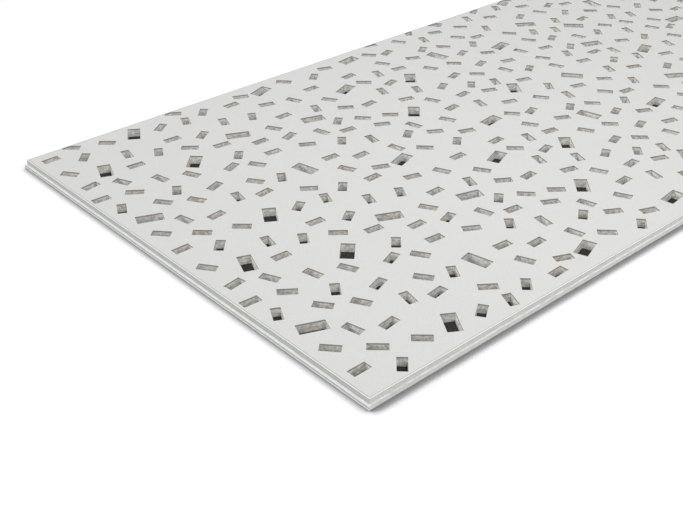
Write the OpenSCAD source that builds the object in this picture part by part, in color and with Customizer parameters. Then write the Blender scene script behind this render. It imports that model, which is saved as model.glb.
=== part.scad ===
// Perforated acoustic plasterboard sheet with a stepped edge, lying face up.
// The length runs along X and the width along Y. The origin is at the centre of the underside.

/* [Sheet] */
// Length of the sheet over its flange
sheet_l = 1200; // [300:1:1800]
// Width of the sheet over its flange
sheet_w = 600; // [200:1:900]
// Thickness of the board with its paper liners, without the backing
board_t = 10.6; // [8:0.1:25]

/* [Stepped edge] */
// Height of the flange below the step
flange_t = 4.1; // [2:0.1:6]
// Flat width of the ledge on top of the flange
ledge_w = 1.6; // [0.5:0.1:20]
// Bevel on the flange's upper edge
flange_bevel = 0.5; // [0.1:0.1:1.5]
// Bevel round the face
face_bevel = 0.6; // [0.1:0.1:1.5]

/* [Perforation] */
// Length of a small hole
small_l = 21; // [8:0.5:24]
// Width of a small hole
small_w = 10.5; // [4:0.5:16]
// Length of a large hole
large_l = 30; // [10:0.5:32]
// Width of a large hole
large_w = 15.5; // [6:0.5:20]
// Width after which the scatter of holes repeats across the sheet
repeat_w = 270; // [160:1:600]
// Side of the square of face that each small hole has to itself
small_pitch = 37.2; // [36:0.1:80]
// Side of the square of face that each large hole has to itself
large_pitch = 112; // [80:1:300]
// How far a small hole may stray from its place in the grid
small_stray = 8; // [0:0.5:25]
// How far a large hole may stray from its place in the grid
large_stray = 28; // [0:0.5:50]
// Least board left between two holes
min_web = 3; // [1:0.5:10]
// Wall left between the holes and the face's rim
rim_wall = 1.5; // [1:0.5:20]
// Least angle between a hole and the sheet's width
min_turn = 10; // [0:1:80]
// How near two holes have to be to be turned away from each other
neighbour_reach = 42; // [0:1:80]
// Seed of the scatter
seed = 19; // [1:1:999]

/* [Backing] */
// Thickness of the tissue glued to the back
tissue_t = 0.4; // [0.2:0.1:1]
// How far the tissue stays back from the flange's edge
tissue_inset = 3; // [1:0.5:15]

/* [Hidden] */

// How far the face's rim stands back from the flange's edge
rim_inset = flange_bevel + ledge_w + face_bevel;
field_l = sheet_l - 2 * (rim_inset + rim_wall);
field_w = sheet_w - 2 * (rim_inset + rim_wall);
// Repeats of the scatter that cover the field, the last one cut short at the far side
repeats = ceil(field_w / repeat_w);
// Step along a row of a triangular grid that has one place to each unit of area
triangle_step = sqrt(2 / sqrt(3));
// Spots and turns tried for each hole, and the random draws that they take
spots_tried = 24;
turns_tried = 2;
draws = 2 * spots_tried + turns_tried;
// How far a cutter runs past the face that it cuts
overcut = 1;

function hole_size(large) = large ? [large_l, large_w] : [small_l, small_w];
function hole_radius(large) = norm(hole_size(large)) / 2;

// Centre to centre, two holes that keep the least web however they are turned
function clearance(large, other_large) = hole_radius(large) + hole_radius(other_large) + min_web;

// True where a hole at p lies whole in the first repeat, which starts at the field's near side
function in_repeat(p, large) = let (
    middle = (repeat_w - field_w) / 2,
    margin = hole_radius(large)
) abs(p.x) < field_l / 2 - margin && abs(p.y - middle) < repeat_w / 2 - margin;

// Distance between p and a hole, which is written [x, y, turn, large]
function distance(p, hole) = norm(p - [hole.x, hole.y]);

// True where a hole at p is clear of the others
function has_room(p, large, others) =
    len([for (o = others) if (distance(p, o) < clearance(large, o[3])) o]) == 0;

// Turn of a hole from the sheet's length, kept off the line of the width
function hole_turn(share) = (90 - min_turn) * (2 * share - 1);

// Angle between a hole at p and the neighbour that is nearest to parallel with it
function least_angle(turn, p, others) = min([90, for (o = others) if (distance(p, o) < neighbour_reach)
    let (angle = abs(turn - o[2]) % 180) min(angle, 180 - angle)]);

// Of the turns drawn for a hole at p, the one least in line with its neighbours
function chosen_turn(p, others, dice) = let (
    turns = [for (share = dice) hole_turn(share)],
    angles = [for (turn = turns) least_angle(turn, p, others)]
) turns[search(max(angles), angles)[0]];

// The hole at one place of a grid: the first spot tried that has room, or none
function scattered_hole(home, stray, large, others, dice) = let (
    spots = [for (k = [0 : spots_tried - 1]) let (bearing = 360 * dice[2 * k])
        home + stray * sqrt(dice[2 * k + 1]) * [cos(bearing), sin(bearing)]],
    free = [for (p = spots) if (in_repeat(p, large) && has_room(p, large, others)) p],
    turn_dice = [for (k = [2 * spots_tried : draws - 1]) dice[k]]
) len(free) == 0 ? [] : [[free[0].x, free[0].y, chosen_turn(free[0], others, turn_dice), large]];

// Place of a staggered grid, whose rows run across the sheet from the field's near corner
function grid_place(row, col, row_step, col_step) = let (stagger = row % 2 == 0 ? 1 / 4 : -1 / 4)
    [(row + 1 / 2) * row_step - field_l / 2, (col + 1 / 2 + stagger) * col_step - field_w / 2];

// Those of the holes placed that may count round home, with their copies to each side
function nearby(home, stray, large, placed) = let (
    sight = stray + max(clearance(large, true), clearance(large, false), neighbour_reach)
) [for (o = placed, side = [-1 : 1]) if (abs(o.x - home.x) < sight)
    [o.x, o.y + side * repeat_w, o[2], o[3]]];

// Holes of one size, one at each of the homes in turn, clear of those already placed
function add_holes(homes, stray, large, placed, dice, k = 0) = k == len(homes) ? placed : let (
    others = nearby(homes[k], stray, large, placed),
    hole_dice = [for (j = [0 : draws - 1]) dice[k * draws + j]],
    added = scattered_hole(homes[k], stray, large, others, hole_dice)
) add_holes(homes, stray, large, concat(placed, added), dice, k + 1);

// One repeat of the scatter: whole columns fill its width, and whole rows the field's length
function scatter(pitch, stray, large, placed) = let (
    cols = max(1, round(repeat_w / (pitch * triangle_step))),
    col_step = repeat_w / cols,
    rows = max(1, round(field_l * col_step / pitch / pitch)),
    row_step = field_l / rows,
    homes = [for (row = [0 : rows - 1], col = [0 : cols - 1])
        grid_place(row, col, row_step, col_step)]
) add_holes(homes, stray, large, placed, rands(0, 1, len(homes) * draws, large ? seed : -seed));

// The large holes are placed first and the small ones between them
function all_holes() =
    scatter(small_pitch, small_stray, false, scatter(large_pitch, large_stray, true, []));

// Cross-section of the sheet between its two stepped edges, across a width w
module stepped_section(w) {
    flange = w / 2;
    ledge = flange - flange_bevel;
    wall = ledge - ledge_w;
    right = [[flange, 0], [flange, flange_t - flange_bevel], [ledge, flange_t], [wall, flange_t],
             [wall, board_t - face_bevel], [wall - face_bevel, board_t]];
    left = [for (k = [len(right) - 1 : -1 : 0]) [-right[k].x, right[k].y]];
    polygon(concat(right, left));
}

// The board before it is perforated, with the step mitred at the corners
module blank() {
    intersection() {
        rotate([90, 0, 0]) linear_extrude(sheet_w, center = true) stepped_section(sheet_l);
        rotate([90, 0, 90]) linear_extrude(sheet_l, center = true) stepped_section(sheet_w);
    }
}

// The holes, cut short where they would run past the field's far side
module perforation() {
    intersection() {
        square([field_l, field_w], center = true);
        for (h = all_holes(), k = [0 : repeats - 1]) {
            p = [h.x, h.y + k * repeat_w];
            if (p.y < field_w / 2) translate(p) rotate(h[2]) square(hole_size(h[3]), center = true);
        }
    }
}

// Plaster core with its bonded paper liners
module board() {
    color("#dededc") translate([0, 0, tissue_t]) difference() {
        blank();
        translate([0, 0, -overcut]) linear_extrude(board_t + 2 * overcut) perforation();
    }
}

// Dark fleece glued over the back, seen at the bottom of the holes
module backing_tissue() {
    color("#3a3a3a") translate([0, 0, tissue_t / 2])
        cube([sheet_l - 2 * tissue_inset, sheet_w - 2 * tissue_inset, tissue_t], center = true);
}

board();
backing_tissue();
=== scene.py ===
import math
import bpy
import bmesh
from mathutils import Euler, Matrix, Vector


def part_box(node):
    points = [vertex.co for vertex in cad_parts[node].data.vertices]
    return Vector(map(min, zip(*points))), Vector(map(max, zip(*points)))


# Perforated plasterboard sheet lying face up on a white studio floor.
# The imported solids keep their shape; this file gives them their finish, the light and the view.

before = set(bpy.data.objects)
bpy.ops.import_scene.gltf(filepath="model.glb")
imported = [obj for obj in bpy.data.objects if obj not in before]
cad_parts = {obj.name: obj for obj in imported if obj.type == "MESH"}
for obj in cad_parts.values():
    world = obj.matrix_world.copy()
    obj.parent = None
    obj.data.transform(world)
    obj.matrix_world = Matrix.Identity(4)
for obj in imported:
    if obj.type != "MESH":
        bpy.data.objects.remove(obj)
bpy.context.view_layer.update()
boardLow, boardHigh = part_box("board")
mm = 0.001
print("frame loaded:", ", ".join(sorted(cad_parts)))


def hexColour(code):
    # An sRGB code as linear light
    channels = [int(code[k:k + 2], 16) / 255 for k in (1, 3, 5)]
    return tuple(c / 12.92 if c <= 0.04045 else ((c + 0.055) / 1.055) ** 2.4 for c in channels) + (1.0,)


black = hexColour("#000000")
white = hexColour("#ffffff")


def addNode(tree, kind, inputs=None, **settings):
    node = tree.nodes.new("ShaderNode" + kind)
    for name, value in settings.items():
        setattr(node, name, value)
    for socket, value in (inputs or {}).items():
        if isinstance(value, bpy.types.NodeSocket):
            tree.links.new(value, node.inputs[socket])
        else:
            node.inputs[socket].default_value = value
    return node


def calculate(tree, operation, first, second=0.0):
    return addNode(tree, "Math", {0: first, 1: second}, operation=operation).outputs[0]


def ramp(tree, value, low, high, start=0.0, end=1.0, way="LINEAR"):
    # From start where the value is at low to end where it is at high, and no further
    return addNode(tree, "MapRange", {0: value, 1: low, 2: high, 3: start, 4: end},
                   interpolation_type=way).outputs[0]


def mixValue(tree, factor, first, second):
    return addNode(tree, "Mix", {0: factor, 2: first, 3: second}, data_type="FLOAT").outputs[0]


def mixColour(tree, factor, first, second):
    return addNode(tree, "Mix", {0: factor, 6: first, 7: second}, data_type="RGBA").outputs[2]


def cloud(tree, place, pattern):
    # Soft patches of the pattern's size. A height share below one draws them out along the sheet: it is
    # their height as a share of their length.
    share = pattern.get("heightShare", 1.0)
    drawn = addNode(tree, "Mapping", {"Vector": place, "Scale": (share, share, 1.0)})
    noise = addNode(tree, "TexNoise", {"Vector": drawn.outputs[0], "Scale": 1 / pattern["size"],
                                       "Detail": pattern["detail"], "Roughness": pattern["roughness"]})
    return noise.outputs[0]


def patches(tree, place, pattern, start=0.0):
    # A cloud with more contrast: what lies in the pattern's range is spread from start to one
    return ramp(tree, cloud(tree, place, pattern), *pattern["range"], start=start)


def newMaterial(name):
    material = bpy.data.materials.new(name)
    material.use_nodes = True
    material.node_tree.nodes.clear()
    return material, material.node_tree


def finishSurface(tree, look, colour, relief):
    bump = addNode(tree, "Bump", {"Height": relief, "Strength": look["bumpStrength"],
                                  "Distance": look["bumpHeight"]})
    shader = addNode(tree, "BsdfPrincipled", {"Base Color": colour, "Roughness": look["roughness"],
                                              "Specular IOR Level": look["specular"],
                                              "Normal": bump.outputs[0]})
    addNode(tree, "OutputMaterial", {"Surface": shader.outputs[0]})


def giveMaterial(piece, material):
    for slot in piece.material_slots:
        slot.material = material


# The board: plaster core between two paper liners, edges milled and sealed
board = {
    "faceColour": "#e2e2e0",       # coated liner paper of the face
    "faceMottle": "#d8d8d5",
    "mottle": {"size": 22 * mm, "detail": 3.0, "roughness": 0.5},
    # Paper fibre, coarser than real so that it shows
    "fibre": {"size": 1.6 * mm, "detail": 1.0, "roughness": 0.5, "range": (0.3, 0.7)},
    "fibreShare": 0.65,            # how much of the mottle is fibre
    "grooveInset": 3.4 * mm,       # painted shade line standing for a faint groove where the paper turns towards the rim
    "grooveHalf": 0.45 * mm,
    "longSide": {                  # sealed long edges: a painted highlight along the rim, a white ledge
        # painted shade: the colour of the groove's line, darker than the face
        "grooveShade": "#b4b4b0",
        # painted highlight: the long sides' rim bevel is near white, brighter than the face
        "rim": "#fffefa",
        "wall": "#dfdeda",
        "ledge": "#fffffb",
        "bevel": "#d9d8d4",
        "flange": "#e4e3e0",
        # painted light: the flange's foot is paler, offsetting the shade where it meets the floor
        "paintedLightFoot": "#eeedea",
        "whiteTop": 5.45 * mm,     # height at which the ledge's white ends on the wall
    },
    "shortEnd": {                  # greenish sealed short edges
        "grooveShade": "#8d8f8a",
        "rim": "#e3e4de",
        "wall": "#b6bbb5",
        "ledge": "#eff2ed",
        "bevel": "#e2e5e0",
        "flange": "#b8bbb8",
        "paintedLightFoot": "#f4f6f4",
        "whiteTop": 5.2 * mm,
    },
    "whiteFade": 0.6 * mm,         # how far below that height the white is whole
    "ledgeOuter": 0.4 * mm,        # from this line to the next the bevel's tone turns to the ledge's
    "ledgeInner": 0.8 * mm,
    "footTop": 2.0 * mm,           # height at which the foot's painted light has faded into the flange's tone
    "underRimDark": 0.85,          # the liner's cut edge, a thin line along the top of the wall
    "edgeMarkDark": 0.86,          # the cutter's marks along the edges
    "edgeMarks": {"size": 1.0 * mm, "heightShare": 0.12, "detail": 2.0, "roughness": 0.5,
                  "range": (0.35, 0.65)},
    "stainColour": "#e6e8e3",      # dull patches on the ledge
    "stains": {"size": 5.0 * mm, "heightShare": 0.4, "detail": 3.0, "roughness": 0.5,
               "range": (0.45, 0.65)},
    "plasterColour": "#fffdf9",    # bare plaster in the holes
    "plasterDark": "#c9c5be",
    "blotches": {"size": 3.2 * mm, "detail": 4.0, "roughness": 0.65, "range": (0.38, 0.62)},
    "scratches": {"size": 2.0 * mm, "heightShare": 0.3, "detail": 3.0, "roughness": 0.5,
                  "range": (0.35, 0.65)},
    "scratchShare": 0.45,          # how much of the plaster's pattern is scratches
    "plasterRange": (0.17, 0.75),  # the part of that pattern that goes from dark to light plaster
    "linerEdgeColour": "#a5a19b",  # cut edge of the face liner, round the mouth of each hole
    "linerEdgeDepth": 1.3 * mm,
    "linerEdgeFade": 0.65 * mm,    # how far below its edge the liner's tone still shows
    "backColour": "#c9c3b8",       # unbleached liner of the back
    "edgeBand": 3.2 * mm,          # everything this near the sheet's outline is edge, not hole
    "ledgeHeight": 4.6 * mm,       # just over the ledge
    "stepHeight": 6 * mm,          # between the ledge and the face
    "wallFacing": 0.3,             # a wall's normal rises or falls less than this
    "levelFacing": 0.9,            # and a level surface's more than this
    "grain": {"size": 1.6 * mm, "detail": 4.0, "roughness": 0.6},
    "paperRelief": 0.12,           # height of the paper's grain, as a share of the hole walls'
    "bumpStrength": 0.5,
    "bumpHeight": 0.3 * mm,
    "roughness": 0.85,
    "specular": 0.3,
}


def boardZones(tree, look, coords):
    # Which part of the board a point is on: its height, its place inside the outline, the way it faces
    x, y, height = addNode(tree, "SeparateXYZ", {0: coords.outputs["Object"]}).outputs
    up = addNode(tree, "SeparateXYZ", {0: coords.outputs["Normal"]}).outputs[2]
    fromEnd = calculate(tree, "SUBTRACT", boardHigh.x, calculate(tree, "ABSOLUTE", x))
    fromSide = calculate(tree, "SUBTRACT", boardHigh.y, calculate(tree, "ABSOLUTE", y))
    inset = calculate(tree, "MINIMUM", fromEnd, fromSide)
    outer = calculate(tree, "LESS_THAN", inset, look["edgeBand"])
    upright = calculate(tree, "LESS_THAN", calculate(tree, "ABSOLUTE", up), look["wallFacing"])
    level = calculate(tree, "GREATER_THAN", up, look["levelFacing"])
    facingUp = calculate(tree, "GREATER_THAN", up, look["wallFacing"])
    sloping = calculate(tree, "SUBTRACT", facingUp, level)
    low = calculate(tree, "LESS_THAN", height, look["stepHeight"])
    depth = calculate(tree, "SUBTRACT", boardHigh.z, height)
    coreDepth = look["linerEdgeDepth"] + look["linerEdgeFade"]
    return {
        "height": height,
        "inset": inset,
        "end": calculate(tree, "LESS_THAN", fromEnd, fromSide),
        "ledge": calculate(tree, "MULTIPLY", facingUp, low),
        "rim": calculate(tree, "MULTIPLY", sloping, calculate(tree, "SUBTRACT", 1.0, low)),
        "edge": calculate(tree, "MULTIPLY", calculate(tree, "MAXIMUM", upright, sloping), outer),
        "holeWall": calculate(tree, "MULTIPLY", upright, calculate(tree, "SUBTRACT", 1.0, outer)),
        "core": ramp(tree, depth, look["linerEdgeDepth"], coreDepth),
        "back": calculate(tree, "LESS_THAN", up, -look["levelFacing"]),
    }


def sideTone(tree, look, zones, part):
    # The long sides and the short ends are finished in slightly different tones
    onSide = hexColour(look["longSide"][part])
    onEnd = hexColour(look["shortEnd"][part])
    return mixColour(tree, zones["end"], onSide, onEnd)


def faceTone(tree, look, place, zones):
    # Coated paper, slightly cloudy and fibrous, with a painted shade line for the groove where it turns
    # towards the rim
    fibre = patches(tree, place, look["fibre"])
    mottle = mixValue(tree, look["fibreShare"], cloud(tree, place, look["mottle"]), fibre)
    tone = mixColour(tree, mottle, hexColour(look["faceColour"]), hexColour(look["faceMottle"]))
    # The groove is not in the geometry: its line is painted shade
    pastGroove = calculate(tree, "SUBTRACT", zones["inset"], look["grooveInset"])
    inGrooveShade = ramp(tree, calculate(tree, "ABSOLUTE", pastGroove), look["grooveHalf"], 0.0)
    return mixColour(tree, inGrooveShade, tone, sideTone(tree, look, zones, "grooveShade"))


def edgeTone(tree, look, place, zones):
    # Sealed plaster with the cutter's marks running along it, white in the corner over the ledge, with
    # painted light at the flange's foot
    whiteTop = mixValue(tree, zones["end"], look["longSide"]["whiteTop"], look["shortEnd"]["whiteTop"])
    belowTop = calculate(tree, "SUBTRACT", whiteTop, zones["height"])
    aboveWhite = ramp(tree, belowTop, look["whiteFade"], 0.0)
    corner = sideTone(tree, look, zones, "ledge")
    wall = mixColour(tree, aboveWhite, corner, sideTone(tree, look, zones, "wall"))
    # Painted light: the flange pales towards its foot, where it would be shaded
    aboveFoot = ramp(tree, zones["height"], boardLow.z, look["footTop"])
    paintedLightFoot = sideTone(tree, look, zones, "paintedLightFoot")
    flange = mixColour(tree, aboveFoot, paintedLightFoot, sideTone(tree, look, zones, "flange"))
    onFlange = calculate(tree, "LESS_THAN", zones["height"], look["ledgeHeight"])
    tone = mixColour(tree, onFlange, wall, flange)
    marks = patches(tree, place, look["edgeMarks"], start=look["edgeMarkDark"])
    underRim = mixValue(tree, zones["core"], look["underRimDark"], 1.0)
    return mixColour(tree, calculate(tree, "MULTIPLY", marks, underRim), black, tone)


def ledgeTone(tree, look, place, zones):
    # The freshly cut ledge, nearly white towards the wall, with a few dull patches
    stained = patches(tree, place, look["stains"])
    clean = sideTone(tree, look, zones, "ledge")
    flat = mixColour(tree, stained, clean, hexColour(look["stainColour"]))
    inward = ramp(tree, zones["inset"], look["ledgeOuter"], look["ledgeInner"])
    return mixColour(tree, inward, sideTone(tree, look, zones, "bevel"), flat)


def plasterTone(tree, look, place, zones):
    # Broken plaster: chalky, blotched and scratched, with the liner's dark cut edge at the mouth
    blotches = patches(tree, place, look["blotches"])
    scratches = patches(tree, place, look["scratches"])
    light = ramp(tree, mixValue(tree, look["scratchShare"], blotches, scratches), *look["plasterRange"])
    tone = mixColour(tree, light, hexColour(look["plasterDark"]), hexColour(look["plasterColour"]))
    return mixColour(tree, zones["core"], hexColour(look["linerEdgeColour"]), tone)


def boardMaterial(look):
    # Liner paper on the face, milled edges, bare plaster in the holes: all of it matte
    material, tree = newMaterial("linerPaperAndPlaster")
    coords = addNode(tree, "TexCoord")
    place = coords.outputs["Object"]
    zones = boardZones(tree, look, coords)
    colour = faceTone(tree, look, place, zones)
    colour = mixColour(tree, zones["edge"], colour, edgeTone(tree, look, place, zones))
    colour = mixColour(tree, zones["ledge"], colour, ledgeTone(tree, look, place, zones))
    # The rim's bevel takes the side's rim tone, which on the long sides is a painted highlight
    colour = mixColour(tree, zones["rim"], colour, sideTone(tree, look, zones, "rim"))
    colour = mixColour(tree, zones["holeWall"], colour, plasterTone(tree, look, place, zones))
    colour = mixColour(tree, zones["back"], colour, hexColour(look["backColour"]))

    grain = cloud(tree, place, look["grain"])
    paperGrain = calculate(tree, "MULTIPLY", grain, look["paperRelief"])
    finishSurface(tree, look, colour, mixValue(tree, zones["holeWall"], paperGrain, grain))
    return material


giveMaterial(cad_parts["board"], boardMaterial(board))
print("board finished")

# The backing: thin glass fleece glued over the back, nearly black where it shows through the holes
tissue = {
    "colour": "#363634",
    "fleckColour": "#504f4c",
    "fibre": {"size": 1.6 * mm, "detail": 5.0, "roughness": 0.65, "range": (0.4, 0.65)},
    "bumpStrength": 0.4,
    "bumpHeight": 0.2 * mm,
    "roughness": 0.95,
    "specular": 0.15,
}


def tissueMaterial(look):
    # Wet-laid glass fleece: matte, dark, with a faint cloud of lighter fibres
    material, tree = newMaterial("glassFleece")
    fibre = cloud(tree, addNode(tree, "TexCoord").outputs["Object"], look["fibre"])
    flecks = ramp(tree, fibre, *look["fibre"]["range"])
    colour = mixColour(tree, flecks, hexColour(look["colour"]), hexColour(look["fleckColour"]))
    finishSurface(tree, look, colour, fibre)
    return material


giveMaterial(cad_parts["backing_tissue"], tissueMaterial(tissue))
print("backing tissue finished")

# The studio: white floor and backdrop, a painted shadow on the floor round the sheet, two broad lamps, a
# soft box over the sheet and an even sky.
# A share is a part of the light on level ground, and a bearing is counted from +X.
studio = {
    "floorSide": 30.0,
    "floorColour": "#f0f0f0",
    "shownLift": 0.26,             # added where the floor is seen, so that the open floor is white
    "paintedShadowReach": 13 * mm,       # how far the floor's painted shadow reaches round what stands on it
    "paintedShadowDark": 0.25,           # how dark the painted shadow gets there, as a share of the open floor
    "contactClosed": 0.675,        # the openness below which it gets no darker
    "contactOpen": 1.045,          # and the one at which it would be wholly lit
    "contactLean": (-0.2, 0.2, 1.0),  # openness is measured this way: the painted shadow is darker by the near long side
    "contactSamples": 8,
    "skyShare": 0.52,
    "leftLamp": {"share": 0.23, "bearing": 138.0, "height": 33.0, "spread": 26.0},
    "frontLamp": {"share": 0.10, "bearing": 243.0, "height": 35.0, "spread": 40.0},
    "boxPlace": (-0.25, -0.3, 0.8),
    "boxSide": 0.7,
    "boxShare": 0.16,              # nominal: at the sheet's middle it gives about 0.13
}


def shownRay(tree):
    # Rays for which floor and sky show as plain white
    path = addNode(tree, "LightPath")
    mirror = calculate(tree, "MAXIMUM", path.outputs["Is Camera Ray"], path.outputs["Is Glossy Ray"])
    return calculate(tree, "MAXIMUM", mirror, path.outputs["Is Transmission Ray"])


def floorMaterial(look):
    # Matte vinyl: plain white, with a painted shadow greying it softly where it is seen, towards the
    # foot of what stands on it
    material, tree = newMaterial("matteWhiteVinyl")
    shown = shownRay(tree)
    leaning = addNode(tree, "CombineXYZ", dict(enumerate(look["contactLean"]))).outputs[0]
    openness = addNode(tree, "AmbientOcclusion", {"Distance": look["paintedShadowReach"], "Normal": leaning},
                       samples=look["contactSamples"]).outputs["AO"]
    # Painted shadow: the seen floor darkens where the occlusion term finds it closed in
    paintedShadow = ramp(tree, openness, look["contactClosed"], look["contactOpen"],
                   start=look["paintedShadowDark"], way="SMOOTHSTEP")
    shade = mixValue(tree, shown, 1.0, paintedShadow)
    shadedVinyl = mixColour(tree, shade, black, hexColour(look["floorColour"]))
    matte = addNode(tree, "BsdfDiffuse", {"Color": shadedVinyl})
    shownPaintedShadow = calculate(tree, "MULTIPLY", shown, paintedShadow)
    strength = calculate(tree, "MULTIPLY", shownPaintedShadow, look["shownLift"])
    lift = addNode(tree, "Emission", {"Color": white, "Strength": strength})
    both = addNode(tree, "AddShader", {0: matte.outputs[0], 1: lift.outputs[0]})
    addNode(tree, "OutputMaterial", {"Surface": both.outputs[0]})
    return material


def makeFloor(look):
    shape = bmesh.new()
    bmesh.ops.create_grid(shape, x_segments=1, y_segments=1, size=look["floorSide"] / 2)
    mesh = bpy.data.meshes.new("studioFloor")
    shape.to_mesh(mesh)
    shape.free()
    mesh.materials.append(floorMaterial(look))
    floor = bpy.data.objects.new("studioFloor", mesh)
    bpy.context.scene.collection.objects.link(floor)


def makeSky(look):
    world = bpy.data.worlds.new("studioSky")
    world.use_nodes = True
    bpy.context.scene.world = world
    tree = world.node_tree
    tree.nodes.clear()
    level = mixValue(tree, shownRay(tree), look["skyShare"], 1.0)
    sky = addNode(tree, "Background", {"Color": white, "Strength": level})
    addNode(tree, "OutputWorld", {"Surface": sky.outputs[0]})


def hangLamp(name, kind, towards):
    # A lamp whose light comes from the direction given
    holder = bpy.data.objects.new(name, bpy.data.lights.new(name, kind))
    holder.rotation_euler = towards.to_track_quat("Z", "Y").to_euler()
    bpy.context.scene.collection.objects.link(holder)
    return holder


def makeLamp(name, look):
    bearing = math.radians(look["bearing"])
    height = math.radians(look["height"])
    towards = Vector((math.cos(bearing) * math.cos(height),
                      math.sin(bearing) * math.cos(height),
                      math.sin(height)))
    lamp = hangLamp(name, "SUN", towards).data
    lamp.energy = math.pi * look["share"] / towards.z
    lamp.angle = math.radians(look["spread"])


def makeSoftBox(look):
    # Near enough to the sheet that its light fades towards the far corners
    place = Vector(look["boxPlace"])
    holder = hangLamp("softBox", "AREA", place)
    holder.location = place
    lamp = holder.data
    lamp.shape = "SQUARE"
    lamp.size = look["boxSide"]
    lamp.energy = look["boxShare"] * math.pi ** 2 * place.length ** 3 / place.z


makeFloor(studio)
makeSky(studio)
makeLamp("leftLamp", studio["leftLamp"])
makeLamp("frontLamp", studio["frontLamp"])
makeSoftBox(studio)
print("studio lit")

# The view: over the sheet's near corner from a little above, longish lens
view = {
    "location": (-1.0976, -0.8195, 0.6057),
    "tilt": 57.945,
    "turn": -41.896,
    "lens": 57.78,
    "sensor": 36.0,
}


def makeCamera(look):
    camera = bpy.data.cameras.new("photoCamera")
    camera.lens = look["lens"]
    camera.sensor_width = look["sensor"]
    holder = bpy.data.objects.new("photoCamera", camera)
    holder.location = look["location"]
    holder.rotation_euler = Euler((math.radians(look["tilt"]), 0.0, math.radians(look["turn"])))
    bpy.context.scene.collection.objects.link(holder)
    bpy.context.scene.camera = holder


makeCamera(view)
bpy.context.scene.view_settings.view_transform = "Standard"
print("camera placed")
